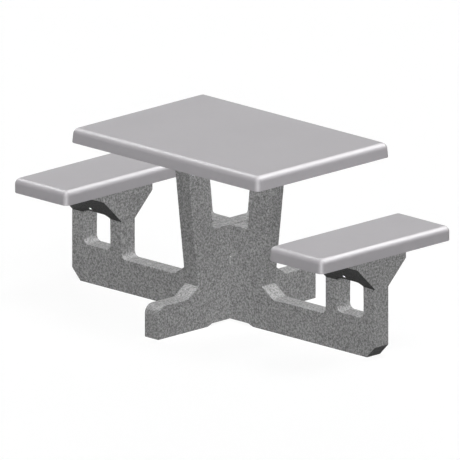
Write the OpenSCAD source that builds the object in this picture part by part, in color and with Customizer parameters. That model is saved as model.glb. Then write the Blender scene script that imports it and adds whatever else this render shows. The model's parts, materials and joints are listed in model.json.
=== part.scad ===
// Precast concrete table with two seats on slotted slab frames.
// Origin: floor level, under the middle of the table. X runs from seat to seat, Z up.

/* [Table top] */
// Height of the table surface above the floor
table_h = 749; // [680:1:820]
// Length of the top along X
top_len = 1052; // [900:2:1200]
// Width of the top along Y
top_wid = 744; // [640:2:900]
// Thickness of the top
top_th = 60; // [56:1:90]
// Slant of the sides of the top, in degrees, so that it leaves its mould
top_draft = 4; // [0:0.5:6]

/* [Seats] */
// Height of the seat surface above the floor
seat_h = 473; // [430:1:520]
// Length of a seat along Y
seat_len = 730; // [560:1:900]
// Width of a seat along X
seat_wid = 300; // [290:1:360]
// Thickness of a seat
seat_th = 60; // [56:1:90]
// Overhang of a seat past the end of the seat frame
seat_overhang = 16; // [0:1:24]
// Distance of the seats along Y from the middle of the seat frame
seat_shift = 11; // [0:1:16]

/* [Rounding] */
// Radius of the upper edges and upright corners of the top and the seats
edge_r = 24; // [8:1:28]

/* [Frame slabs] */
// Thickness of both frame slabs
slab_th = 76; // [70:1:100]
// Height of the feet and of the arms to the seats
foot_h = 134; // [120:1:150]
// Half length of the seat frame along X
seat_frame_reach = 848; // [800:1:950]
// Half length of the cross frame along Y
cross_frame_reach = 441; // [380:1:520]
// Radius of the upper corners at the ends of the cross frame
cross_end_r = 38; // [10:1:60]
// Length of the chamfer under each end of the seat frame
toe_chamfer_len = 46; // [20:1:60]
// Height of the chamfer under each end of the seat frame
toe_chamfer_h = 48; // [20:1:60]

/* [Pedestal] */
// Half width where the haunch leaves the foot
haunch_half = 276; // [260:1:320]
// Height of the sloped haunch
haunch_h = 41; // [20:1:60]
// Half width above the haunch
neck_half = 214; // [200:1:235]
// Half width across the uprights under the top
spread_half = 275; // [262:1:300]
// Half width of the opening between the uprights under the top
mouth_top_half = 168; // [150:1:175]
// Half width of the opening between the uprights at its floor
mouth_low_half = 135; // [110:1:140]
// Height of the floor of that opening
mouth_z = 396; // [370:1:430]
// Radius of the corners at the floor of that opening
mouth_r = 13; // [5:1:25]

/* [Underside relief] */
// Half width of the relief under the middle of both slabs
relief_half = 163; // [120:1:190]
// Height of the relief
relief_h = 9.5; // [4:0.5:14]
// Length of the slant at each end of the relief
relief_slant = 25; // [10:1:40]

/* [Slotted joint] */
// Clearance on each side of a slab in the other slab's slot
slot_gap = 3.7; // [1:0.1:6]
// Height where the upward slot of the seat frame starts
up_slot_z = 234; // [215:1:250]
// Height where the downward slot of the cross frame ends
down_slot_z = 264; // [252:1:280]

/* [Seat supports] */
// Width of a support along X
support_w = 277; // [260:1:300]
// Width of the window along X
window_w = 149; // [130:1:160]
// Distance of the window from the outer end of the support
window_rim = 65; // [55:1:75]
// Height of the bottom of the window
window_low = 157; // [152:1:180]
// Height of the top of the window
window_high = 305; // [280:1:318]
// Radius of the window corners and of the fillet at the arm
window_r = 25; // [8:1:35]
// Height where the flares under the seat start
flare_z = 287; // [270:1:300]
// Distance of the tip of a flare from the slab's middle plane
flare_reach = 137; // [120:1:150]
// Height of the upright tip of a flare
flare_tip_h = 28; // [20:1:34]

/* [Reinforcement] */
// Diameter of the bars in the frame slabs
bar_d = 10; // [6:1:10]
// Diameter of the bars in the top and the seats
wire_d = 6; // [4:0.5:7]
// Concrete cover over the bars
cover = 30; // [24:1:32]
// Gap between tied layers of bars
tie_gap = 1.5; // [1:0.1:3]
// Number of bars along the top
top_long_count = 5; // [3:1:6]
// Number of bars across the top
top_cross_count = 7; // [5:1:9]
// Number of bars along a seat
seat_long_count = 3; // [2:1:3]
// Number of bars across a seat
seat_cross_count = 5; // [4:1:7]

/* [Angle clips] */
// Leg of the steel angles under the top
clip_leg = 50; // [44:1:56]
// Thickness of the steel angles
clip_th = 6; // [4:0.5:8]
// Width of an angle clip
clip_wid = 70; // [50:1:80]
// Distance of the bolt holes from the heel of an angle
clip_gauge = 31; // [30:1:32]

/* [Fastenings] */
// Diameter of the bolts and studs
bolt_d = 12; // [10:0.5:12]
// Length of a clip bolt under its head
clip_bolt_len = 30; // [26:1:30]
// Width across the flats of a bolt head
head_af = 18; // [16:1:19]
// Height of a bolt head
head_h = 7.5; // [6:0.5:8]
// Diameter of a washer
washer_d = 24; // [20:1:24]
// Thickness of a washer
washer_th = 2.5; // [1.5:0.5:3]
// Diameter of the clearance holes for bolts and studs
hole_d = 14; // [13:0.5:15]
// Diameter of a cast-in threaded insert
insert_d = 20; // [18:0.5:22]
// Length of a cast-in threaded insert
insert_len = 26; // [24:1:27]
// Diameter of the anchoring foot of an insert
insert_foot_d = 25; // [23:0.5:26]
// Height of the anchoring foot of an insert
insert_foot_h = 4; // [3:0.5:6]
// Distance of the seat studs from the slab's middle plane
stud_off = 71; // [64:1:80]
// Length of a stud inside its insert
stud_grip = 22; // [18:1:23]

/* [Hidden] */

$fn = 64;
overrun = 5;
cast_gap = 0.2;
thread_gap = 0.2;
washer_gap = 0.5;
insert_floor = 2;
tip_chamfer = 1.5;
hex_sides = 6;
clip_root_r = 6;

slab_grey = "#8c8c8b";
cast_grey = "#b4b3b3";
steel_grey = "#c3c8cc";
rebar_brown = "#6d5a4d";

top_under = table_h - top_th;
seat_under = seat_h - seat_th;
neck_z = foot_h + haunch_h;
slot_half = slab_th / 2 + slot_gap;
outer_slope = (spread_half - neck_half) / (top_under - neck_z);
inner_slope = (mouth_top_half - mouth_low_half) / (top_under - mouth_z);
seat_mid = seat_frame_reach + seat_overhang - seat_wid / 2;
support_in = seat_frame_reach - support_w;
window_out = seat_frame_reach - window_rim;
window_in = window_out - window_w;
stud_x = (support_in + seat_frame_reach) / 2;
flare_slope = (seat_under - flare_tip_h - flare_z) / (flare_reach - slab_th / 2);
stud_mouth_z = flare_z + (stud_off - slab_th / 2) * flare_slope;
clip_bolt_z = top_under - clip_gauge;
layer_off = (bar_d + tie_gap) / 2;
wire_low = insert_len + cast_gap + tie_gap + wire_d / 2;
wire_high = wire_low + wire_d + tie_gap;

// Outer and inner edge and middle line of an upright at height z
function outer_at(z) = neck_half + outer_slope * (z - neck_z);
function inner_at(z) = mouth_low_half + inner_slope * (z - mouth_z);
function middle_at(z) = (outer_at(z) + inner_at(z)) / 2;

// Plain shapes

// Width at the bottom of a rim whose side leans in by so many degrees
function rim_base(th, draft) = edge_r / cos(draft) + (th - edge_r) * tan(draft);

// Section through a rounded rim: flat side below, round above
module rim_section(th, draft) {
    side_top = [edge_r * cos(draft), th - edge_r + edge_r * sin(draft)];
    polygon([[0, 0], [rim_base(th, draft), 0], side_top, [0, side_top.y]]);
    translate([0, th - edge_r]) intersection() {
        circle(edge_r);
        square(edge_r);
    }
}

// Cast slab with rounded upper edges and rounded upright corners, standing on z = 0
module cast_slab(len, wid, th, draft = 0) {
    in_x = len / 2 - rim_base(th, draft);
    in_y = wid / 2 - rim_base(th, draft);
    translate([-in_x, -in_y, 0]) cube([2 * in_x, 2 * in_y, th]);
    for (side = [0, 180]) rotate(side) {
        translate([in_x, in_y, 0]) rotate([90, 0, 0])
            linear_extrude(2 * in_y) rim_section(th, draft);
        rotate(90) translate([in_y, in_x, 0]) rotate([90, 0, 0])
            linear_extrude(2 * in_x) rim_section(th, draft);
        translate([in_x, in_y, 0]) rotate_extrude(angle = 90) rim_section(th, draft);
        translate([-in_x, in_y, 0]) rotate(90)
            rotate_extrude(angle = 90) rim_section(th, draft);
    }
}

// Straight round bar between two points of the plane x, z, at depth y
module bar_xz(from, to, y, d) {
    run = to - from;
    translate([from.x, y, from.y]) rotate([0, atan2(run.x, run.y), 0])
        cylinder(h = norm(run), d = d);
}

// Two tied layers of bars for a flat slab, so many along x and so many along y
module bar_grid(len, wid, along_count, across_count, grow) {
    in_x = len / 2 - cover;
    in_y = wid / 2 - cover;
    d = wire_d + 2 * grow;
    pitch_x = 2 * (in_x - wire_d) / (across_count - 1);
    pitch_y = 2 * (in_y - wire_d) / (along_count - 1);
    for (i = [0 : along_count - 1])
        translate([-in_x - grow, i * pitch_y - in_y + wire_d, wire_low])
            rotate([0, 90, 0]) cylinder(h = 2 * (in_x + grow), d = d);
    for (i = [0 : across_count - 1])
        translate([i * pitch_x - in_x + wire_d, in_y + grow, wire_high])
            rotate([90, 0, 0]) cylinder(h = 2 * (in_y + grow), d = d);
}

// Reinforcement of the top, where it lies
module top_bars(grow) {
    translate([0, 0, top_under])
        bar_grid(top_len, top_wid, top_long_count, top_cross_count, grow);
}

// Reinforcement of the seat on side 1 or -1, where it lies
module seat_bars(side, grow) {
    translate([side * seat_mid, seat_shift, seat_under]) rotate(90)
        bar_grid(seat_len, seat_wid, seat_long_count, seat_cross_count, grow);
}

// Outside of a threaded insert: mouth at z = 0, foot buried above it
module insert_body(grow) {
    cylinder(h = insert_len + grow, d = insert_d + 2 * grow);
    translate([0, 0, insert_len - insert_foot_h - grow])
        cylinder(h = insert_foot_h + 2 * grow, d = insert_foot_d + 2 * grow);
}

// Pocket that an insert leaves in the concrete, open at its mouth
module insert_pocket() {
    insert_body(cast_gap);
    translate([0, 0, -overrun]) cylinder(h = 2 * overrun, d = insert_d + 2 * cast_gap);
}

// Threaded insert with its blind bore
module insert() {
    difference() {
        insert_body(0);
        translate([0, 0, -overrun])
            cylinder(h = insert_len - insert_floor + overrun, d = bolt_d + 2 * thread_gap);
    }
}

// Shank from z = 0 up, with a chamfered end
module shank(len) {
    cylinder(h = len - tip_chamfer, d = bolt_d);
    translate([0, 0, len - tip_chamfer])
        cylinder(h = tip_chamfer, d1 = bolt_d, d2 = bolt_d - 2 * tip_chamfer);
}

// Hexagon bolt: underside of the head at z = 0, shank up
module hex_bolt(len) {
    shank(len);
    translate([0, 0, -head_h]) intersection() {
        cylinder(h = head_h, d = head_af / cos(180 / hex_sides), $fn = hex_sides);
        cylinder(h = head_h, d1 = head_af, d2 = head_af + 2 * head_h);
    }
}

// Flat washer on z = 0
module washer() {
    difference() {
        cylinder(h = washer_th, d = washer_d);
        translate([0, 0, -overrun])
            cylinder(h = washer_th + 2 * overrun, d = bolt_d + 2 * washer_gap);
    }
}

// Where things go

// Each upright in turn, with x outwards along its slab
module each_upright() {
    for (turn = [0 : 90 : 270]) rotate(turn) children();
}

// Upward bolt place under the top, beside the upright that x points along
module at_top_bolt() {
    translate([middle_at(clip_bolt_z), slab_th / 2 + clip_gauge, top_under]) children();
}

// Sideways bolt place on the face of the upright that x points along, z into the slab
module at_side_bolt() {
    translate([middle_at(clip_bolt_z), slab_th / 2, clip_bolt_z]) rotate([90, 0, 0]) children();
}

// The two studs under the seat on side 1 or -1, at the underside of the seat
module at_seat_studs(side) {
    for (y = [-stud_off, stud_off])
        translate([side * stud_x, y, seat_under]) children();
}

// Frame slabs

// One side of the outline from the foot up the haunch and the upright to the opening
function upright_points() = [
    [haunch_half, foot_h],
    [neck_half, neck_z],
    [spread_half, top_under],
    [mouth_top_half, top_under],
    [mouth_low_half, mouth_z],
    [0, mouth_z]
];

// One side of the relief, from the middle outwards
function relief_points() = [
    [0, relief_h],
    [relief_half - relief_slant, relief_h],
    [relief_half, 0]
];

// Fillet in the corner at the floor of the opening
module mouth_fillet() {
    lean = norm([1, inner_slope]);
    mid = [mouth_low_half + inner_slope * mouth_r - mouth_r * lean, mouth_z + mouth_r];
    difference() {
        polygon([
            [mouth_low_half, mouth_z],
            mid + mouth_r / lean * [1, -inner_slope],
            mid,
            [mid.x, mouth_z]
        ]);
        translate(mid) circle(mouth_r);
    }
}

// Round-cornered upright rectangle between two corners
module round_window(low, high, r) {
    size = high - low;
    translate(low + [r, 0]) square([size.x - 2 * r, size.y]);
    translate(low + [0, r]) square([size.x, size.y - 2 * r]);
    for (x = [low.x + r, high.x - r], y = [low.y + r, high.y - r])
        translate([x, y]) circle(r);
}

// Both sides of a half outline
module both_sides() {
    children();
    mirror([1, 0]) children();
}

module seat_frame_outline() {
    both_sides() {
        polygon(concat(relief_points(), [
            [seat_frame_reach - toe_chamfer_len, 0],
            [seat_frame_reach, toe_chamfer_h],
            [seat_frame_reach, seat_under],
            [support_in, seat_under],
            [support_in, foot_h]
        ], upright_points()));
        mouth_fillet();
        translate([support_in - window_r, foot_h]) difference() {
            square(window_r);
            translate([0, window_r]) circle(window_r);
        }
    }
}

module cross_frame_outline() {
    both_sides() {
        polygon(concat(relief_points(), [
            [cross_frame_reach, 0],
            [cross_frame_reach, foot_h - cross_end_r],
            [cross_frame_reach - cross_end_r, foot_h]
        ], upright_points()));
        translate([cross_frame_reach - cross_end_r, foot_h - cross_end_r]) circle(cross_end_r);
        mouth_fillet();
    }
}

// Turns an outline in x, z into an upright slab of thickness th
module upright_slab(th) {
    rotate([90, 0, 0]) linear_extrude(th, center = true) children();
}

// Flared block under both sides of a seat
module seat_flare() {
    translate([support_in, 0, 0]) rotate([90, 0, 90])
        linear_extrude(seat_frame_reach - support_in) polygon([
            [-slab_th / 2, flare_z],
            [-flare_reach, seat_under - flare_tip_h],
            [-flare_reach, seat_under],
            [flare_reach, seat_under],
            [flare_reach, seat_under - flare_tip_h],
            [slab_th / 2, flare_z]
        ]);
}

// Leaning bars along both edges of each upright
module upright_bars(grow) {
    foot = cover - grow;
    head = top_under - cover + grow;
    off = cover + bar_d / 2;
    for (side = [-1, 1]) {
        bar_xz([side * (outer_at(foot) - off), foot], [side * (outer_at(head) - off), head],
            -layer_off, bar_d + 2 * grow);
        bar_xz([side * (inner_at(foot) + off), foot], [side * (inner_at(head) + off), head],
            -layer_off, bar_d + 2 * grow);
    }
}

// Level bar at height z, from one distance to another, on the other side of the tie
module level_bar(from, to, z, grow) {
    bar_xz([from - grow, z], [to + grow, z], layer_off, bar_d + 2 * grow);
}

module seat_frame_bars(grow) {
    half_bar = bar_d / 2;
    inner_bar = (support_in + window_in) / 2;
    outer_bar = (window_out + seat_frame_reach) / 2;
    far = seat_frame_reach - cover;
    mouth_bar = mouth_z - cover - half_bar;
    neck_bar = up_slot_z - cover - half_bar;
    upright_bars(grow);
    level_bar(-far, far, relief_h + cover + half_bar, grow);
    level_bar(-far, far, foot_h - cover - half_bar, grow);
    level_bar(-outer_at(neck_bar) + cover, outer_at(neck_bar) - cover, neck_bar, grow);
    for (turn = [0, 1]) mirror([turn, 0, 0]) {
        level_bar(slot_half + cover, outer_at(mouth_bar) - cover, mouth_bar, grow);
        level_bar(support_in + cover, far, window_high + cover + half_bar, grow);
        bar_xz([inner_bar, cover - grow], [inner_bar, seat_under - cover + grow],
            -layer_off, bar_d + 2 * grow);
        bar_xz([outer_bar, cover + bar_d - grow], [outer_bar, seat_under - cover + grow],
            -layer_off, bar_d + 2 * grow);
        for (x = [inner_bar + bar_d + tie_gap, outer_bar - bar_d - tie_gap])
            translate([x, flare_reach - cover + grow, seat_under - flare_tip_h])
                rotate([90, 0, 0])
                    cylinder(h = 2 * (flare_reach - cover + grow), d = bar_d + 2 * grow);
    }
}

module cross_frame_bars(grow) {
    half_bar = bar_d / 2;
    far = cross_frame_reach - cover;
    mouth_bar = mouth_z - cover - half_bar;
    chord_bar = down_slot_z + cover + half_bar;
    upright_bars(grow);
    for (turn = [0, 1]) mirror([turn, 0, 0]) {
        level_bar(slot_half + cover, far, relief_h + cover + half_bar, grow);
        level_bar(slot_half + cover, far, foot_h - cover - half_bar, grow);
    }
    for (z = [chord_bar, mouth_bar])
        level_bar(-outer_at(z) + cover, outer_at(z) - cover, z, grow);
}

// Pieces

module table_top() {
    color(cast_grey) difference() {
        translate([0, 0, top_under]) cast_slab(top_len, top_wid, top_th, top_draft);
        top_bars(cast_gap);
        each_upright() at_top_bolt() insert_pocket();
    }
}

module top_rebar() {
    color(rebar_brown) top_bars(0);
}

module top_inserts() {
    color(steel_grey) each_upright() at_top_bolt() insert();
}

module seat(side) {
    color(cast_grey) difference() {
        translate([side * seat_mid, seat_shift, seat_under])
            cast_slab(seat_wid, seat_len, seat_th);
        seat_bars(side, cast_gap);
        at_seat_studs(side) insert_pocket();
    }
}

module seat_rebar(side) {
    color(rebar_brown) seat_bars(side, 0);
}

module seat_inserts(side) {
    color(steel_grey) at_seat_studs(side) insert();
}

module seat_studs(side) {
    drop = seat_under - stud_mouth_z;
    color(steel_grey) at_seat_studs(side) {
        shank(stud_grip);
        mirror([0, 0, 1]) shank(drop);
    }
}

module seat_frame() {
    color(slab_grey) difference() {
        union() {
            upright_slab(slab_th) seat_frame_outline();
            seat_flare();
            mirror([1, 0, 0]) seat_flare();
        }
        upright_slab(2 * (flare_reach + overrun)) both_sides()
            round_window([window_in, window_low], [window_out, window_high], window_r);
        translate([-slot_half, -slab_th / 2 - overrun, up_slot_z])
            cube([2 * slot_half, slab_th + 2 * overrun, mouth_z - up_slot_z + overrun]);
        for (side = [-1, 1]) at_seat_studs(side)
            translate([0, 0, flare_z - seat_under - overrun])
                cylinder(h = seat_under - flare_z + 2 * overrun, d = hole_d);
        for (turn = [0, 180]) rotate(turn) at_side_bolt() insert_pocket();
        seat_frame_bars(cast_gap);
    }
}

module seat_frame_rebar() {
    color(rebar_brown) seat_frame_bars(0);
}

module seat_frame_inserts() {
    color(steel_grey) for (turn = [0, 180]) rotate(turn) at_side_bolt() insert();
}

module cross_frame() {
    color(slab_grey) rotate(90) difference() {
        upright_slab(slab_th) cross_frame_outline();
        translate([-slot_half, -slab_th / 2 - overrun, -overrun])
            cube([2 * slot_half, slab_th + 2 * overrun, down_slot_z + overrun]);
        for (turn = [0, 180]) rotate(turn) at_side_bolt() insert_pocket();
        cross_frame_bars(cast_gap);
    }
}

module cross_frame_rebar() {
    color(rebar_brown) rotate(90) cross_frame_bars(0);
}

module cross_frame_inserts() {
    color(steel_grey) for (turn = [90, 270]) rotate(turn) at_side_bolt() insert();
}

// Angle clip in the corner between an upright's face and the underside of the top
module top_clip(turn) {
    color(steel_grey) rotate(turn) difference() {
        translate([middle_at(clip_bolt_z) - clip_wid / 2, slab_th / 2, top_under])
            rotate([90, 0, 90]) linear_extrude(clip_wid) {
                translate([0, -clip_leg]) square([clip_th, clip_leg]);
                translate([0, -clip_th]) square([clip_leg, clip_th]);
                translate([clip_th, -clip_th - clip_root_r]) difference() {
                    square(clip_root_r);
                    translate([clip_root_r, 0]) circle(clip_root_r);
                }
            }
        at_top_bolt() translate([0, 0, -clip_th - overrun])
            cylinder(h = clip_th + 2 * overrun, d = hole_d);
        at_side_bolt() translate([0, 0, -clip_th - overrun])
            cylinder(h = clip_th + 2 * overrun, d = hole_d);
    }
}

module clip_top_bolts() {
    color(steel_grey) each_upright() at_top_bolt()
        translate([0, 0, -clip_th - washer_th]) hex_bolt(clip_bolt_len);
}

module clip_top_washers() {
    color(steel_grey) each_upright() at_top_bolt()
        translate([0, 0, -clip_th - washer_th]) washer();
}

module clip_side_bolts() {
    color(steel_grey) each_upright() at_side_bolt()
        translate([0, 0, -clip_th - washer_th]) hex_bolt(clip_bolt_len);
}

module clip_side_washers() {
    color(steel_grey) each_upright() at_side_bolt()
        translate([0, 0, -clip_th - washer_th]) washer();
}

table_top();
top_rebar();
top_inserts();
seat(-1);  // seat_left
seat_rebar(-1);  // seat_left_rebar
seat_inserts(-1);  // seat_left_inserts
seat_studs(-1);  // seat_left_studs
seat(1);  // seat_right
seat_rebar(1);  // seat_right_rebar
seat_inserts(1);  // seat_right_inserts
seat_studs(1);  // seat_right_studs
seat_frame();
seat_frame_rebar();
seat_frame_inserts();
cross_frame();
cross_frame_rebar();
cross_frame_inserts();
top_clip(0);  // top_clip_right
top_clip(90);  // top_clip_back
top_clip(180);  // top_clip_left
top_clip(270);  // top_clip_front
clip_top_bolts();
clip_top_washers();
clip_side_bolts();
clip_side_washers();
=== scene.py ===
"""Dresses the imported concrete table: cast slabs, frame slabs, steelwork, floor, lamps and camera."""

import json
import math

import bmesh
import bpy
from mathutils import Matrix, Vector

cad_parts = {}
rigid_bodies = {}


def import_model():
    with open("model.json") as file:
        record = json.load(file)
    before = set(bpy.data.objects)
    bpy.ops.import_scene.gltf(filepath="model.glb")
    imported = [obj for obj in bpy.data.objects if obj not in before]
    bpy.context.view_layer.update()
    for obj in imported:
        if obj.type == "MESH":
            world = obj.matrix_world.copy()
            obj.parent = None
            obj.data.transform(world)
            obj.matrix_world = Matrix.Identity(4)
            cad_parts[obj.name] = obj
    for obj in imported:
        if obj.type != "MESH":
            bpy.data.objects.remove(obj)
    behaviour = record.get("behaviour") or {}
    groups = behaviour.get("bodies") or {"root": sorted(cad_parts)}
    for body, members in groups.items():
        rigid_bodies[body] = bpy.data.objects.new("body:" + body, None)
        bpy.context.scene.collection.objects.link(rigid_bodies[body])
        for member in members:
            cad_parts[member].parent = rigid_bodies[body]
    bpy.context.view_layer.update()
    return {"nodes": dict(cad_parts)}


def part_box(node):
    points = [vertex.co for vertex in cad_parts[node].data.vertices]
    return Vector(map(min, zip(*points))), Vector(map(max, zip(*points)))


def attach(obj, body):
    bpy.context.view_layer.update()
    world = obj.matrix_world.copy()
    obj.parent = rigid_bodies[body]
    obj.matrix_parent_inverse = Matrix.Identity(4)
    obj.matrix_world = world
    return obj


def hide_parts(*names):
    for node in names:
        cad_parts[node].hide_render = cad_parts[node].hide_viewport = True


bl_info = {
    "name": "Concrete Table",
    "version": (1, 0, 0),
    "blender": (4, 5, 0),
    "location": "View3D > Sidebar > Table",
    "description": "Builds and finishes a precast concrete table with two seats",
    "category": "Object",
}

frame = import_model()

FRAME_SLABS = {"seat_frame": "formed_seat_frame", "cross_frame": "formed_cross_frame"}
STEEL_ENDINGS = ("_inserts", "_studs", "_bolts", "_washers")
CLIP_START = "top_clip"
REBAR_ENDING = "_rebar"

# Modelling
SAME_PLACE = 1e-5
FLAT_WITHIN = math.radians(0.5)
CAST_SMOOTH_ANGLE = math.radians(40)
SLAB_SMOOTH_ANGLE = math.radians(30)
FLAT_FACE_WEIGHT = 100
CAST_ARRIS_STEPS = 2

# Values of the random patterns between which one tone turns into the other
CAST_TONE = (0.3, 0.7)
SLAB_TONE = (0.32, 0.68)
PORE_EDGE = (0.02, 0.06)
PORE_CHANCE = (0.55, 0.6)
RUST_EDGE = (0.4, 0.62)

# Height of a face's normal: 1 faces up, 0 to the side and -1 down. Over these spans the painted light
# on faces that look up and the painted shade on faces that look down set in
PAINTED_LIGHT_SLOPE = (0.2, 0.7)
PAINTED_SHADE_SLOPE = (-0.6, -0.2)

# What the faint clouds on the frame slabs multiply the colour by
CLOUD_SHADE_DARK = (0.86, 0.86, 0.86)
CLOUD_SHADE_LIGHT = (1.12, 1.12, 1.12)

WHITE = (1.0, 1.0, 1.0)

# Each lamp: name, azimuth, elevation and width in degrees, strength, and its task.
# Azimuth 0 is in front and 90 to the right. A "sheen" lamp shows only as gloss on the
# rounded edges, a "fill" lamp gives no gloss, and only a "shadow" lamp casts shadows.
LAMPS = [
    ("key", 36, 38, 20, 2.45, "plain"),
    ("right", 75, 47, 20, 1.12, "plain"),
    ("fill_back", 222, 3, 30, 1.5, "fill"),
    ("ceiling", 155, 75, 20, 0.24, "shadow"),
    ("sheen_back", 165, 45, 50, 8.2, "sheen"),
    ("sheen_left", 262, 36, 30, 2.9, "sheen"),
    ("sheen_top", 45, 73, 30, 5.2, "sheen"),
    ("sheen_corner", 45, -10, 25, 4.5, "sheen"),
]
LAMP_TARGET = (0, 0, 0.45)
LAMP_DISTANCE = 5


# Shader building


class Value:
    """A number socket in a node tree. Arithmetic on it adds Math nodes."""

    def __init__(self, recipe, socket):
        self.recipe = recipe
        self.socket = socket

    def math(self, operation, *values):
        inputs = dict(enumerate(values))
        return self.recipe.node("ShaderNodeMath", {"operation": operation}, inputs)

    def __add__(self, other):
        return self.math("ADD", self, other)

    def __sub__(self, other):
        return self.math("SUBTRACT", self, other)

    def __rsub__(self, other):
        return self.math("SUBTRACT", other, self)

    def __mul__(self, other):
        return self.math("MULTIPLY", self, other)

    __radd__ = __add__
    __rmul__ = __mul__


class Recipe:
    """The node tree of one material or world."""

    def __init__(self, owner):
        owner.use_nodes = True
        self.tree = owner.node_tree
        self.tree.nodes.clear()

    def node(self, kind, settings=None, inputs=None, out=0):
        """Adds a node: its settings first, then values or links for its sockets."""
        made = self.tree.nodes.new(kind)
        for key, value in (settings or {}).items():
            setattr(made, key, value)
        for key, value in (inputs or {}).items():
            if isinstance(value, Value):
                self.tree.links.new(value.socket, made.inputs[key])
            else:
                made.inputs[key].default_value = value
        if made.outputs:
            return Value(self, made.outputs[out])
        return None

    def place(self):
        """Object coordinates, in metres."""
        coordinates = self.node("ShaderNodeTexCoord", out="Object")
        return self.node("ShaderNodeMapping", inputs={"Vector": coordinates})

    def noise(self, place, size, detail=2.0, roughness=0.5):
        """Smooth random value whose features are about size metres across."""
        inputs = {"Vector": place, "Scale": 1 / size, "Detail": detail, "Roughness": roughness}
        return self.node("ShaderNodeTexNoise", inputs=inputs)

    def cells(self, place, size, out):
        """Cells about size metres across: "Distance" from a cell's middle, or a "Color" each."""
        inputs = {"Vector": place, "Scale": 1 / size}
        return self.node("ShaderNodeTexVoronoi", inputs=inputs, out=out)

    def step(self, value, low, high):
        """0 below low, 1 above high and smooth between them."""
        settings = {"interpolation_type": "SMOOTHSTEP"}
        inputs = {"Value": value, "From Min": low, "From Max": high}
        return self.node("ShaderNodeMapRange", settings, inputs)

    def height(self, vector):
        """The Z of a vector."""
        return self.node("ShaderNodeSeparateXYZ", inputs={"Vector": vector}, out="Z")

    def blend(self, factor, first, second, how="MIX"):
        """Mixes two colours."""
        settings = {"data_type": "RGBA", "blend_type": how}
        return self.node("ShaderNodeMix", settings, {0: factor, 6: first, 7: second}, out=2)

    def bump(self, height, strength, depth):
        """A normal with relief of this depth in metres."""
        inputs = {"Height": height, "Strength": strength, "Distance": depth}
        return self.node("ShaderNodeBump", inputs=inputs)

    def ray(self, kind):
        """1 for rays of one kind and 0 for the others."""
        return self.node("ShaderNodeLightPath", out=f"Is {kind} Ray")

    def surface(self, **sockets):
        """Closes the tree with one Principled surface."""
        inputs = {name.replace("_", " "): value for name, value in sockets.items()}
        shader = self.node("ShaderNodeBsdfPrincipled", inputs=inputs)
        self.node("ShaderNodeOutputMaterial", inputs={"Surface": shader})


def opaque(colour):
    return (*colour, 1.0)


# Finishes


def smooth_cast_concrete(cast):
    """Pale concrete, smooth from the mould, with faint clouds and a few small pores, painted darker
    inside as painted shade.
    """
    made = bpy.data.materials.new("smooth_cast_concrete")
    recipe = Recipe(made)
    place = recipe.place()
    clouds = recipe.noise(place, cast.cloud_size, detail=3.0)
    mottle = recipe.noise(place, cast.mottle_size, detail=4.0, roughness=0.6)
    tone = recipe.step(0.6 * clouds + 0.4 * mottle, *CAST_TONE)
    paint = recipe.blend(tone, opaque(cast.dark_colour), opaque(cast.light_colour))
    pits = recipe.cells(place, cast.pore_spacing, out="Distance")
    chance = recipe.noise(place, cast.pore_spacing * 2)
    pore = (1 - recipe.step(pits, *PORE_EDGE)) * recipe.step(chance, *PORE_CHANCE)
    # The pores are painted darker: painted shade in the pores.
    paint = recipe.blend(pore, paint, opaque(cast.pore_shade_colour))
    grain = recipe.noise(place, cast.grain_size)
    recipe.surface(
        Base_Color=paint,
        Roughness=cast.roughness + cast.roughness_spread * (mottle - 0.5),
        Specular_IOR_Level=cast.sheen,
        Normal=recipe.bump(0.3 * grain + mottle - pore, strength=0.35, depth=cast.relief_depth),
    )
    return made


def speckled_slab_concrete(slab):
    """Mid grey concrete with darker and lighter grains and a rough face."""
    made = bpy.data.materials.new("speckled_slab_concrete")
    recipe = Recipe(made)
    place = recipe.place()
    grains = recipe.noise(place, slab.grain_size, detail=2.5, roughness=0.65)
    sand = recipe.noise(place, slab.sand_size)
    clouds = recipe.noise(place, slab.cloud_size, detail=3.0)
    tone = recipe.step(0.7 * grains + 0.3 * sand, *SLAB_TONE)
    paint = recipe.blend(tone, opaque(slab.dark_colour), opaque(slab.light_colour))
    # The product is a Math node, which turns the cells' colours grey.
    stones = 1.0 * recipe.cells(place, slab.stone_size, out="Color")
    paint = recipe.blend(slab.stone_share, paint, stones, how="OVERLAY")
    shade = recipe.blend(clouds, opaque(CLOUD_SHADE_DARK), opaque(CLOUD_SHADE_LIGHT))
    paint = recipe.blend(1.0, paint, shade, how="MULTIPLY")
    facing_up = recipe.height(recipe.node("ShaderNodeNewGeometry", out="Normal"))
    # Faces that look up are painted lighter: painted light from above.
    painted_light = slab.painted_light * recipe.step(facing_up, *PAINTED_LIGHT_SLOPE)
    # Faces that look down are painted darker: painted shade underneath.
    painted_shade = slab.painted_shade * (1 - recipe.step(facing_up, *PAINTED_SHADE_SLOPE))
    paint = recipe.blend(painted_light, paint, opaque(slab.painted_light_colour))
    paint = recipe.blend(painted_shade, paint, opaque(slab.painted_shade_colour), how="MULTIPLY")
    recipe.surface(
        Base_Color=paint,
        Roughness=slab.roughness + slab.roughness_spread * sand,
        Specular_IOR_Level=slab.sheen,
        Normal=recipe.bump(grains + 0.4 * sand, strength=0.7, depth=slab.relief_depth),
    )
    return made


def galvanised_steel(steel):
    """Dull zinc with a faint spangle."""
    made = bpy.data.materials.new("galvanised_steel")
    recipe = Recipe(made)
    place = recipe.place()
    spangle = recipe.cells(place, steel.spangle_size, out="Color")
    cloud = recipe.noise(place, steel.spangle_size * 4, detail=3.0)
    paint = recipe.blend(cloud, opaque(steel.zinc_dark), opaque(steel.zinc_light))
    paint = recipe.blend(steel.spangle_share, paint, spangle, how="OVERLAY")
    recipe.surface(
        Base_Color=paint,
        Metallic=0.85,
        Roughness=0.38 + 0.18 * cloud,
        Normal=recipe.bump(cloud, strength=0.2, depth=steel.zinc_relief),
    )
    return made


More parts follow.
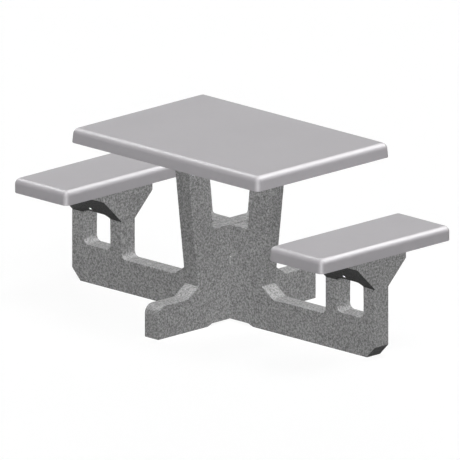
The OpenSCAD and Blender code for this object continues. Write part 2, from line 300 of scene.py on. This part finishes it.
def brown_bar_steel(steel):
    """Reinforcing bar with mill scale and a bloom of rust."""
    made = bpy.data.materials.new("brown_bar_steel")
    recipe = Recipe(made)
    place = recipe.place()
    bloom = recipe.noise(place, steel.rust_size, detail=4.0, roughness=0.6)
    rust = recipe.step(bloom, *RUST_EDGE)
    paint = recipe.blend(rust, opaque(steel.scale_colour), opaque(steel.rust_colour))
    recipe.surface(
        Base_Color=paint,
        Metallic=0.6 - 0.5 * rust,
        Roughness=0.5 + 0.35 * rust,
        Normal=recipe.bump(bloom, strength=0.4, depth=steel.rust_relief),
    )
    return made


def pale_floor(stage):
    """Pale floor that shows white and keeps a soft shadow, but sends little light up."""
    made = bpy.data.materials.new("pale_floor")
    recipe = Recipe(made)
    seen = recipe.ray("Camera") + recipe.ray("Glossy") + recipe.ray("Transmission")
    glow = {"Color": opaque(WHITE), "Strength": stage.floor_glow}
    white = recipe.node("ShaderNodeEmission", inputs=glow)
    lit = recipe.node("ShaderNodeBsdfDiffuse", inputs={"Color": opaque(stage.floor_colour)})
    dim = recipe.node("ShaderNodeBsdfDiffuse", inputs={"Color": opaque(stage.bounce_colour)})
    shown = recipe.node("ShaderNodeMixShader", inputs={0: stage.shadow_depth, 1: white, 2: lit})
    surface = recipe.node("ShaderNodeMixShader", inputs={0: seen, 1: dim, 2: shown})
    recipe.node("ShaderNodeOutputMaterial", inputs={"Surface": surface})
    return made


# Modelling


def deselect():
    if bpy.context.object and bpy.context.object.mode != "OBJECT":
        bpy.ops.object.mode_set(mode="OBJECT")
    bpy.ops.object.select_all(action="DESELECT")


def work_on(piece):
    """Makes one object the only selected and active one."""
    deselect()
    piece.select_set(True)
    bpy.context.view_layer.objects.active = piece


def name_piece(piece, name):
    piece.name = name
    piece.data.name = name


def middle(box):
    """The middle of a box given by its lowest and highest corners."""
    return (Vector(box[0]) + Vector(box[1])) / 2


def choose_edges(wanted):
    """In edit mode, selects the edges that the test accepts. Returns how many."""
    bpy.ops.mesh.select_mode(type="EDGE")
    bpy.ops.mesh.select_all(action="DESELECT")
    shape = bmesh.from_edit_mesh(bpy.context.object.data)
    chosen = [edge for edge in shape.edges if wanted(edge)]
    for edge in chosen:
        edge.select_set(True)
    bmesh.update_edit_mesh(bpy.context.object.data)
    return len(chosen)


def bevel_edges(wanted, width, steps):
    if not choose_edges(wanted):
        raise RuntimeError(f"no edge to bevel on {bpy.context.object.name}")
    bpy.ops.mesh.bevel(
        offset=width, offset_type="OFFSET", segments=steps, profile=0.5, affect="EDGES"
    )


def both_at(edge, height):
    """True if both ends of an edge are at one height."""
    return all(abs(vertex.co.z - height) < SAME_PLACE for vertex in edge.verts)


def smooth_with_flat_faces(piece, angle):
    """Smooths the rounded edges and keeps the large faces flat."""
    bpy.ops.object.shade_smooth_by_angle(angle=angle)
    bpy.ops.object.modifier_add(type="WEIGHTED_NORMAL")
    flat = piece.modifiers[-1]
    flat.keep_sharp = True
    flat.weight = FLAT_FACE_WEIGHT
    bpy.ops.object.modifier_apply(modifier=flat.name)


def finish_piece(piece, node, material):
    """Gives a piece its material and its body, and hides the node that it stands for."""
    piece.data.materials.clear()
    piece.data.materials.append(material)
    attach(piece, "root")
    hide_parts(node)


def cast_slab(node, name, cast, draft=0.0):
    """A slab with rounded upper edges and corners, in the box of its node.

    The draft slants its sides.
    """
    low, high = (Vector(corner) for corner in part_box(node))
    centre = middle((low, high))
    size = high - low
    deselect()
    bpy.ops.mesh.primitive_cube_add(size=1, location=centre, scale=size)
    piece = bpy.context.object
    name_piece(piece, name)
    bpy.ops.object.transform_apply(location=True, rotation=True, scale=True)
    bpy.ops.object.mode_set(mode="EDIT")
    choose_edges(lambda edge: both_at(edge, high.z))
    lean = 2 * size.z * math.tan(draft)
    narrowing = (1 - lean / size.x, 1 - lean / size.y, 1)
    bpy.ops.transform.resize(value=narrowing, center_override=centre)
    bevel_edges(lambda edge: not both_at(edge, low.z), cast.edge_radius, cast.edge_steps)
    bevel_edges(lambda edge: both_at(edge, low.z), cast.arris, CAST_ARRIS_STEPS)
    bpy.ops.object.mode_set(mode="OBJECT")
    smooth_with_flat_faces(piece, CAST_SMOOTH_ANGLE)
    return piece


def copy_slab(slab, name, move):
    """A second slab like the first one, with its own mesh."""
    work_on(slab)
    bpy.ops.object.duplicate(linked=False)
    copy = bpy.context.object
    name_piece(copy, name)
    bpy.ops.transform.translate(value=move)
    bpy.ops.object.transform_apply(location=True, rotation=True, scale=True)
    return copy


def drop_hidden_pockets(piece):
    """In edit mode, deletes the closed hollows round the steel inside. They never show."""
    shape = bmesh.from_edit_mesh(piece.data)
    lowest = min(shape.verts, key=lambda vertex: vertex.co.z)
    bpy.ops.mesh.select_mode(type="VERT")
    bpy.ops.mesh.select_all(action="DESELECT")
    lowest.select_set(True)
    shape.select_flush(True)
    bmesh.update_edit_mesh(piece.data)
    bpy.ops.mesh.select_linked()
    bpy.ops.mesh.select_all(action="INVERT")
    if any(vertex.select for vertex in shape.verts):
        bpy.ops.mesh.delete(type="VERT")


def formed_slab(node, name, slab):
    """A frame slab with its sharp edges eased, from a merged copy of its node."""
    source = frame["nodes"][node]
    piece = bpy.data.objects.new(name, source.data.copy())
    name_piece(piece, name)
    bpy.context.scene.collection.objects.link(piece)
    work_on(piece)
    bpy.ops.object.mode_set(mode="EDIT")
    bpy.ops.mesh.select_all(action="SELECT")
    bpy.ops.mesh.remove_doubles(threshold=SAME_PLACE)
    drop_hidden_pockets(piece)
    bpy.ops.mesh.select_all(action="SELECT")
    bpy.ops.mesh.dissolve_limited(angle_limit=FLAT_WITHIN)
    bevel_edges(
        lambda edge: edge.calc_length() > slab.hole_edge
        and edge.calc_face_angle() > slab.sharp_angle,
        slab.arris,
        slab.arris_steps,
    )
    bpy.ops.object.mode_set(mode="OBJECT")
    smooth_with_flat_faces(piece, SLAB_SMOOTH_ANGLE)
    return piece


def paint_nodes(names, material):
    """Puts a material on CAD nodes that stay in view."""
    for name in names:
        for place in frame["nodes"][name].material_slots:
            place.material = material


# Settings


def metres(name, text, default):
    return bpy.props.FloatProperty(
        name=name, description=text, default=default, min=0, subtype="DISTANCE", unit="LENGTH"
    )


def offset(name, text, default):
    return bpy.props.FloatProperty(
        name=name, description=text, default=default, subtype="DISTANCE", unit="LENGTH"
    )


def colour(name, text, default):
    return bpy.props.FloatVectorProperty(
        name=name, description=text, default=default, min=0, max=1, size=3, subtype="COLOR"
    )


def share(name, text, default):
    return bpy.props.FloatProperty(
        name=name, description=text, default=default, min=0, max=1, subtype="FACTOR"
    )


def degrees(name, text, default):
    return bpy.props.FloatProperty(
        name=name, description=text, default=math.radians(default), subtype="ANGLE"
    )


def steps(name, text, default):
    return bpy.props.IntProperty(name=name, description=text, default=default, min=1)


class CastSettings(bpy.types.PropertyGroup):
    """The top and the seats."""

    edge_radius: metres("Edge radius", "Radius of the upper edges and upright corners", 0.024)
    edge_steps: steps("Edge steps", "Faces round an edge", 12)
    arris: metres("Arris", "Width of the eased lower edge", 0.002)
    top_draft: degrees("Top draft", "Slant of the sides of the top", 4.0)
    light_colour: colour("Light", "Lighter tone of the concrete", (0.385, 0.371, 0.389))
    dark_colour: colour("Dark", "Darker tone of the concrete", (0.365, 0.351, 0.369))
    # Painted shade in the pores.
    pore_shade_colour: colour("Pore", "Colour in a pore", (0.22, 0.21, 0.21))
    roughness: share("Roughness", "Mean roughness of the cast face", 0.5)
    roughness_spread: share("Spread", "How much the roughness varies", 0.1)
    sheen: share("Sheen", "Specular level of the smooth face", 0.5)
    cloud_size: metres("Cloud size", "Size of the faint clouds", 0.35)
    mottle_size: metres("Mottle size", "Size of the fine mottle", 0.03)
    grain_size: metres("Grain size", "Size of the cement grain", 0.0015)
    pore_spacing: metres("Pore spacing", "Distance between pores", 0.02)
    relief_depth: metres("Relief", "Depth of the fine relief", 0.0006)


class SlabSettings(bpy.types.PropertyGroup):
    """The two frame slabs."""

    arris: metres("Arris", "Width of the eased edges", 0.002)
    arris_steps: steps("Arris steps", "Faces across an eased edge", 2)
    hole_edge: metres("Hole edge", "Shorter edges belong to small holes and stay sharp", 0.0026)
    sharp_angle: degrees("Sharp angle", "Edges sharper than this are eased", 18.0)
    light_colour: colour("Light", "Lighter grains", (0.43, 0.43, 0.43))
    dark_colour: colour("Dark", "Darker grains", (0.14, 0.14, 0.14))
    # Painted light on faces that look up.
    painted_light: share("Painted light", "Share of dust on faces that look up", 0.06)
    painted_light_colour: colour("Dust colour", "Colour of the dust", (0.5, 0.5, 0.5))
    # Painted shade on faces that look down.
    painted_shade: share("Painted shade", "Share of damp on faces that look down", 1.0)
    painted_shade_colour: colour("Damp colour", "What damp leaves of the colour", (0.22, 0.22, 0.22))
    grain_size: metres("Grain size", "Size of the grains", 0.008)
    sand_size: metres("Sand size", "Size of the sand between them", 0.003)
    stone_size: metres("Stone size", "Size of the stones", 0.007)
    stone_share: share("Stones", "How much the stones show", 0.12)
    cloud_size: metres("Cloud size", "Size of the faint clouds", 0.3)
    relief_depth: metres("Relief", "Depth of the rough face", 0.0015)
    roughness: share("Roughness", "Least roughness of the slab face", 0.55)
    roughness_spread: share("Spread", "How much the sand adds to it", 0.1)
    sheen: share("Sheen", "Specular level of the rough face", 0.13)


class SteelSettings(bpy.types.PropertyGroup):
    """The fastenings and the reinforcement."""

    zinc_light: colour("Light zinc", "Lighter tone of the zinc", (0.68, 0.7, 0.72))
    zinc_dark: colour("Dark zinc", "Darker tone of the zinc", (0.48, 0.5, 0.52))
    zinc_relief: metres("Zinc relief", "Depth of the unevenness in the zinc", 0.0004)
    spangle_size: metres("Spangle", "Size of the zinc crystals", 0.006)
    spangle_share: share("Spangle share", "How much the crystals show", 0.1)
    scale_colour: colour("Mill scale", "Colour of the mill scale", (0.12, 0.1, 0.09))
    rust_colour: colour("Rust", "Colour of the rust", (0.27, 0.11, 0.05))
    rust_size: metres("Rust size", "Size of the rust spots", 0.012)
    rust_relief: metres("Rust relief", "Depth of the rust spots", 0.0006)


class StageSettings(bpy.types.PropertyGroup):
    """Floor, lamps and camera."""

    floor_size: metres("Floor size", "Side of the floor", 60.0)
    floor_colour: colour("Floor", "Colour of the floor as seen", (0.92, 0.92, 0.92))
    floor_glow: bpy.props.FloatProperty(
        name="Floor glow", description="Strength of the floor's own white", default=1.16, min=0
    )
    bounce_colour: colour("Bounce", "Colour that the floor sends up", (0.05, 0.05, 0.05))
    shadow_depth: share("Shadow depth", "Share of the shadow that shows", 0.5)
    azimuth: degrees("Azimuth", "Camera's turn round the table from the front", 45.0)
    elevation: degrees("Elevation", "Camera's angle above the floor", 15.54)
    view_width: metres("View width", "Width of the picture at the table", 1.8203)
    aim_side: offset("Aim side", "Aim to the right of the middle", -0.0009)
    aim_height: metres("Aim height", "Height that the camera looks at", 0.3586)
    camera_distance: metres("Camera distance", "Distance from the middle", 12.0)
    backdrop_low: share("Backdrop low", "Height up to which gloss shows the backdrop", 0.05)
    backdrop_high: share("Backdrop high", "Height from which gloss shows none of it", 0.3)
    sky: share("Sky", "Strength of the light from all round", 0.06)


# Operators


class TABLE_OT_cast_top(bpy.types.Operator):
    """Model the top with its rounded edges and slanted sides"""

    bl_idname = "concrete_table.cast_top"
    bl_label = "Cast Top"

    def execute(self, context):
        cast = context.scene.table_cast
        top = cast_slab("table_top", "cast_top", cast, cast.top_draft)
        finish_piece(top, "table_top", smooth_cast_concrete(cast))
        return {"FINISHED"}


class TABLE_OT_cast_seats(bpy.types.Operator):
    """Model one seat with its rounded edges and copy it for the other side"""

    bl_idname = "concrete_table.cast_seats"
    bl_label = "Cast Seats"

    def execute(self, context):
        material = bpy.data.materials["smooth_cast_concrete"]
        left = cast_slab("seat_left", "cast_seat_left", context.scene.table_cast)
        across = middle(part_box("seat_right")) - middle(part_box("seat_left"))
        right = copy_slab(left, "cast_seat_right", across)
        finish_piece(left, "seat_left", material)
        finish_piece(right, "seat_right", material)
        return {"FINISHED"}


class TABLE_OT_form_frames(bpy.types.Operator):
    """Ease the edges of the frame slabs and give them their speckled face"""

    bl_idname = "concrete_table.form_frames"
    bl_label = "Form Frames"

    def execute(self, context):
        slab = context.scene.table_slab
        material = speckled_slab_concrete(slab)
        for node, name in FRAME_SLABS.items():
            finish_piece(formed_slab(node, name, slab), node, material)
        return {"FINISHED"}


class TABLE_OT_finish_steel(bpy.types.Operator):
    """Give the fastenings zinc and the reinforcement mill scale"""

    bl_idname = "concrete_table.finish_steel"
    bl_label = "Finish Steel"

    def execute(self, context):
        steel = context.scene.table_steel
        names = list(frame["nodes"])
        zinc = [n for n in names if n.endswith(STEEL_ENDINGS) or n.startswith(CLIP_START)]
        rebar = [n for n in names if n.endswith(REBAR_ENDING)]
        paint_nodes(zinc, galvanised_steel(steel))
        paint_nodes(rebar, brown_bar_steel(steel))
        return {"FINISHED"}


def aim_at(location, target):
    """Rotation that points a lamp or camera from a place at a target."""
    return (Vector(target) - Vector(location)).to_track_quat("-Z", "Y").to_euler()


def around(azimuth, elevation, distance, target):
    """A point at a distance from a target. Azimuth 0 is in front, 90 degrees to the right."""
    away = Vector((
        math.sin(azimuth) * math.cos(elevation),
        -math.cos(azimuth) * math.cos(elevation),
        math.sin(elevation),
    ))
    return Vector(target) + away * distance


class TABLE_OT_set_stage(bpy.types.Operator):
    """Add the floor, the lamps, the sky and the camera"""

    bl_idname = "concrete_table.set_stage"
    bl_label = "Set Stage"

    def execute(self, context):
        stage = context.scene.table_stage
        self.lay_floor(stage)
        for lamp in LAMPS:
            self.hang_lamp(*lamp)
        self.light_sky(context.scene, stage)
        self.place_camera(context.scene, stage)
        return {"FINISHED"}

    def lay_floor(self, stage):
        deselect()
        bpy.ops.mesh.primitive_plane_add(size=stage.floor_size, location=(0, 0, 0))
        floor = bpy.context.object
        floor.name = "floor"
        floor.data.materials.append(pale_floor(stage))

    def hang_lamp(self, name, azimuth, elevation, width, strength, task):
        angles = (math.radians(azimuth), math.radians(elevation))
        place = around(*angles, LAMP_DISTANCE, LAMP_TARGET)
        bpy.ops.object.light_add(
            type="SUN", location=place, rotation=aim_at(place, LAMP_TARGET)
        )
        lamp = bpy.context.object
        lamp.name = name
        lamp.data.angle = math.radians(width)
        lamp.data.energy = strength
        lamp.data.use_shadow = task == "shadow"
        lamp.visible_diffuse = task != "sheen"
        lamp.visible_glossy = task != "fill"

    def light_sky(self, scene, stage):
        """Dim light from all round, white to the camera, with a pale backdrop in the gloss."""
        scene.world = bpy.data.worlds.new("studio")
        recipe = Recipe(scene.world)
        height = recipe.height(recipe.node("ShaderNodeTexCoord", out="Generated"))
        backdrop = 1 - recipe.step(height, stage.backdrop_low, stage.backdrop_high)
        seen = recipe.ray("Camera") + recipe.ray("Transmission") + recipe.ray("Glossy") * backdrop
        level = stage.sky + (1 - stage.sky) * seen
        inputs = {"Color": opaque(WHITE), "Strength": level}
        sky = recipe.node("ShaderNodeBackground", inputs=inputs)
        recipe.node("ShaderNodeOutputWorld", inputs={"Surface": sky})

    def place_camera(self, scene, stage):
        to_right = Vector((math.cos(stage.azimuth), math.sin(stage.azimuth), 0))
        target = to_right * stage.aim_side + Vector((0, 0, stage.aim_height))
        place = around(stage.azimuth, stage.elevation, stage.camera_distance, target)
        bpy.ops.object.camera_add(location=place, rotation=aim_at(place, target))
        camera = bpy.context.object
        camera.data.type = "ORTHO"
        camera.data.ortho_scale = stage.view_width
        camera.data.clip_end = 10 * stage.camera_distance
        scene.camera = camera


class TABLE_PT_panel(bpy.types.Panel):
    """Steps that build and finish the table"""

    bl_idname = "TABLE_PT_panel"
    bl_label = "Concrete Table"
    bl_space_type = "VIEW_3D"
    bl_region_type = "UI"
    bl_category = "Table"

    def draw(self, context):
        for step in STEPS:
            self.layout.operator(step.bl_idname)
        for name in SETTINGS:
            group = getattr(context.scene, name)
            box = self.layout.box()
            for key in group.__annotations__:
                box.prop(group, key)


STEPS = (
    TABLE_OT_cast_top,
    TABLE_OT_cast_seats,
    TABLE_OT_form_frames,
    TABLE_OT_finish_steel,
    TABLE_OT_set_stage,
)
SETTINGS = {
    "table_cast": CastSettings,
    "table_slab": SlabSettings,
    "table_steel": SteelSettings,
    "table_stage": StageSettings,
}


def register():
    for made in (*SETTINGS.values(), *STEPS, TABLE_PT_panel):
        bpy.utils.register_class(made)
    for name, group in SETTINGS.items():
        setattr(bpy.types.Scene, name, bpy.props.PointerProperty(type=group))


def unregister():
    for name in SETTINGS:
        delattr(bpy.types.Scene, name)
    for made in reversed((*SETTINGS.values(), *STEPS, TABLE_PT_panel)):
        bpy.utils.unregister_class(made)


def main():
    register()
    bpy.context.scene.view_settings.view_transform = "Standard"
    bpy.ops.concrete_table.cast_top()
    bpy.ops.concrete_table.cast_seats()
    bpy.ops.concrete_table.form_frames()
    bpy.ops.concrete_table.finish_steel()
    bpy.ops.concrete_table.set_stage()


if __name__ == "__main__":
    main()
